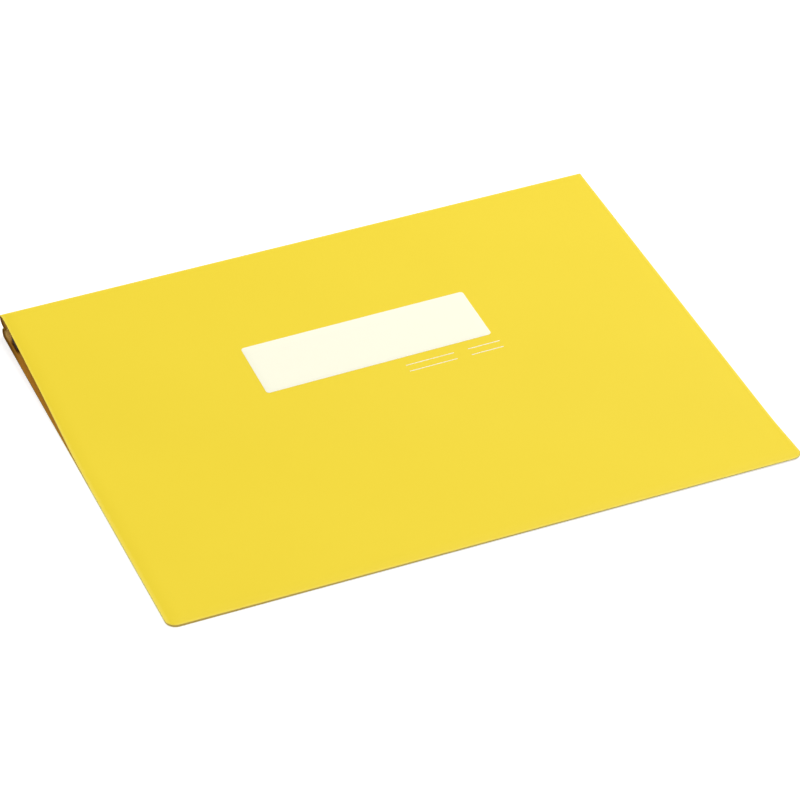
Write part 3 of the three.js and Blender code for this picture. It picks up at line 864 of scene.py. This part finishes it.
edge_wear, group_in, group_out = new_group(
    "edge_wear", [("Place", "NodeSocketVector"), ("Radius", "NodeSocketFloat")], ("Wear",),
)
worn_normal = edge_wear.nodes.new("ShaderNodeBevel")
worn_normal.samples = 4
edge_wear.links.new(group_in.outputs["Radius"], worn_normal.inputs["Radius"])
own_normal = edge_wear.nodes.new("ShaderNodeNewGeometry")
likeness = edge_wear.nodes.new("ShaderNodeVectorMath")
likeness.operation = "DOT_PRODUCT"
edge_wear.links.new(worn_normal.outputs[0], likeness.inputs[0])
edge_wear.links.new(own_normal.outputs["Normal"], likeness.inputs[1])
turned_away = math_node(edge_wear, "SUBTRACT", 1.0, likeness.outputs["Value"], limit=True)
wear_patches = speckle(
    edge_wear, group_in.outputs["Place"], WEAR_PATCH, detail=4, roughness=0.7,
)
patchy = math_node(
    edge_wear, "MULTIPLY", turned_away, steepened(edge_wear, wear_patches, low=0.35, high=0.6),
)
wear = math_node(edge_wear, "MULTIPLY", patchy, WEAR_GAIN, limit=True)
edge_wear.links.new(wear, group_out.inputs["Wear"])

# Rolled metal has fine streaks along its grain, and is duller and rougher in smudges.
SMUDGE_SIZE = 0.012
METAL_SMOOTHEST = 0.1
STREAKS_ROUGHER = 0.16
SMUDGES_ROUGHER = 0.3

rolled_metal, group_in, group_out = new_group(
    "rolled_metal", [("Place", "NodeSocketVector"), ("Grain", "NodeSocketVector")],
    ("Streaks", "Smudges", "Roughness"),
)
along_grain = rolled_metal.nodes.new("ShaderNodeVectorMath")
along_grain.operation = "MULTIPLY"
rolled_metal.links.new(group_in.outputs["Place"], along_grain.inputs[0])
rolled_metal.links.new(group_in.outputs["Grain"], along_grain.inputs[1])
streaks = speckle(rolled_metal, along_grain.outputs[0], size=1.0, detail=4, roughness=0.7)
smudges = speckle(
    rolled_metal, group_in.outputs["Place"], SMUDGE_SIZE, detail=3, roughness=0.55,
)
rougher = math_node(
    rolled_metal, "ADD", math_node(rolled_metal, "MULTIPLY", streaks, STREAKS_ROUGHER),
    math_node(rolled_metal, "MULTIPLY", smudges, SMUDGES_ROUGHER),
)
metal_roughness = math_node(rolled_metal, "ADD", rougher, METAL_SMOOTHEST)
smudge_share = steepened(rolled_metal, smudges, low=0.35, high=0.65)
rolled_metal.links.new(streaks, group_out.inputs["Streaks"])
rolled_metal.links.new(smudge_share, group_out.inputs["Smudges"])
rolled_metal.links.new(metal_roughness, group_out.inputs["Roughness"])


def metal_finish(name, grain, bright, dull):
    """Plated steel: streaks along its grain, dull smudges and brighter worn edges."""
    finish, tree, shader = new_finish(name, roughness=0.35, specular=0.5)
    shader.inputs["Metallic"].default_value = 1.0
    place = tree.nodes.new("ShaderNodeTexCoord").outputs["Object"]
    surface = place_group(tree, rolled_metal, place, Grain=grain)
    wear = place_group(tree, edge_wear, place, Radius=METAL_WEAR)["Wear"]
    plated = blend_colours(tree, surface["Smudges"], bright, dull)
    tree.links.new(blend_colours(tree, wear, plated, STEEL_WORN), shader.inputs["Base Color"])
    tree.links.new(surface["Roughness"], shader.inputs["Roughness"])
    relief(tree, shader, surface["Streaks"], rise=0.000012)
    return finish


plated_steel = metal_finish("plated_steel", STRIP_GRAIN, STEEL, STEEL_DULL)
eased_copy("base_strip_plate", "base_strip", STRIP_EASE, "rear", plated_steel)

# Rivets: six of plated steel, set from under the rear cover, each closed over the base strip
# in a low dome.
RIVETS = 6
RIVET_BRIGHT = (0.72, 0.72, 0.71, 1)
RIVET_DULL = (0.56, 0.56, 0.56, 1)
RIVET_EASE = 0.00006
RIVET_GRAIN = (900, 900, 900)

rivet_steel = metal_finish("rivet_steel", RIVET_GRAIN, RIVET_BRIGHT, RIVET_DULL)
for number in range(1, RIVETS + 1):
    eased_copy(
        f"rivet_{number}", f"base_rivet_{number}", RIVET_EASE, "rear",
        rivet_steel,
    )

# Posts: moulded in white nylon, each with a foot on the base strip, a tail through it and a
# smooth shaft for the holes of the sheets.
NYLON = (0.83, 0.81, 0.75, 1)
NYLON_YELLOWED = (0.78, 0.75, 0.66, 1)
POST_EASE = 0.00012

# Moulded plastic has a fine grain, and faint clouds in its colour and its roughness.
MOULD_CLOUD = 0.006
MOULD_GRAIN = 0.00018
MOULD_WEAR = 0.0003
MOULD_SMOOTHEST = 0.28
MOULD_ROUGHER = 0.3

moulded_skin, group_in, group_out = new_group(
    "moulded_skin", [("Place", "NodeSocketVector")], ("Cloud", "Grain", "Roughness"),
)
cloud = speckle(
    moulded_skin, group_in.outputs["Place"], MOULD_CLOUD, detail=3, roughness=0.6,
)
grain = speckle(moulded_skin, group_in.outputs["Place"], MOULD_GRAIN, detail=2)
cloud_share = steepened(moulded_skin, cloud, low=0.3, high=0.7)
rougher = math_node(moulded_skin, "MULTIPLY", cloud, MOULD_ROUGHER)
mould_roughness = math_node(moulded_skin, "ADD", rougher, MOULD_SMOOTHEST)
moulded_skin.links.new(cloud_share, group_out.inputs["Cloud"])
moulded_skin.links.new(grain, group_out.inputs["Grain"])
moulded_skin.links.new(mould_roughness, group_out.inputs["Roughness"])


def plastic_finish(name, specular, clean, aged, rubbed, grain_rise):
    """Moulded plastic: a fine grain, faint clouds of colour and rubbed edges."""
    finish, tree, shader = new_finish(name, roughness=0.5, specular=specular)
    place = tree.nodes.new("ShaderNodeTexCoord").outputs["Object"]
    surface = place_group(tree, moulded_skin, place)
    wear = place_group(tree, edge_wear, place, Radius=MOULD_WEAR)["Wear"]
    body = blend_colours(tree, surface["Cloud"], clean, aged)
    tree.links.new(blend_colours(tree, wear, body, rubbed), shader.inputs["Base Color"])
    tree.links.new(surface["Roughness"], shader.inputs["Roughness"])
    relief(tree, shader, surface["Grain"], grain_rise)
    return finish


post_nylon = plastic_finish(
    "post_nylon", specular=0.35, clean=NYLON, aged=NYLON_YELLOWED, rubbed=NYLON,
    grain_rise=0.000008,
)
for side in ("left", "right"):
    eased_copy(f"{side}_post_pin", f"{side}_post", POST_EASE, "rear", post_nylon)

# Press bar: a channel rolled from the same plated steel as the base strip, its lips turned in
# over the lock slides. It goes over both posts and clamps the sheets.
BAR_EASE = 0.0001
eased_copy("press_channel", "press_bar", BAR_EASE, "press", plated_steel)

# End caps and lock slides: moulded in black plastic. Each cap closes one end of the press
# bar, and each slide runs in the bar with a keyhole round its post and a ribbed thumb piece.
BLACK = (0.013, 0.011, 0.009, 1)
BLACK_AGED = (0.02, 0.017, 0.014, 1)
BLACK_RUBBED = (0.07, 0.065, 0.06, 1)
CAP_EASE = 0.0002
SLIDE_EASE = 0.00015

slide_plastic = plastic_finish(
    "slide_plastic", specular=0.15, clean=BLACK, aged=BLACK_AGED, rubbed=BLACK_RUBBED,
    grain_rise=0.00002,
)
for side in ("left", "right"):
    eased_copy(
        f"{side}_cap_moulding", f"{side}_end_cap", CAP_EASE, "press",
        slide_plastic,
    )
    eased_copy(
        f"{side}_slide_moulding", f"{side}_lock_slide", SLIDE_EASE, f"{side}_lock",
        slide_plastic,
    )
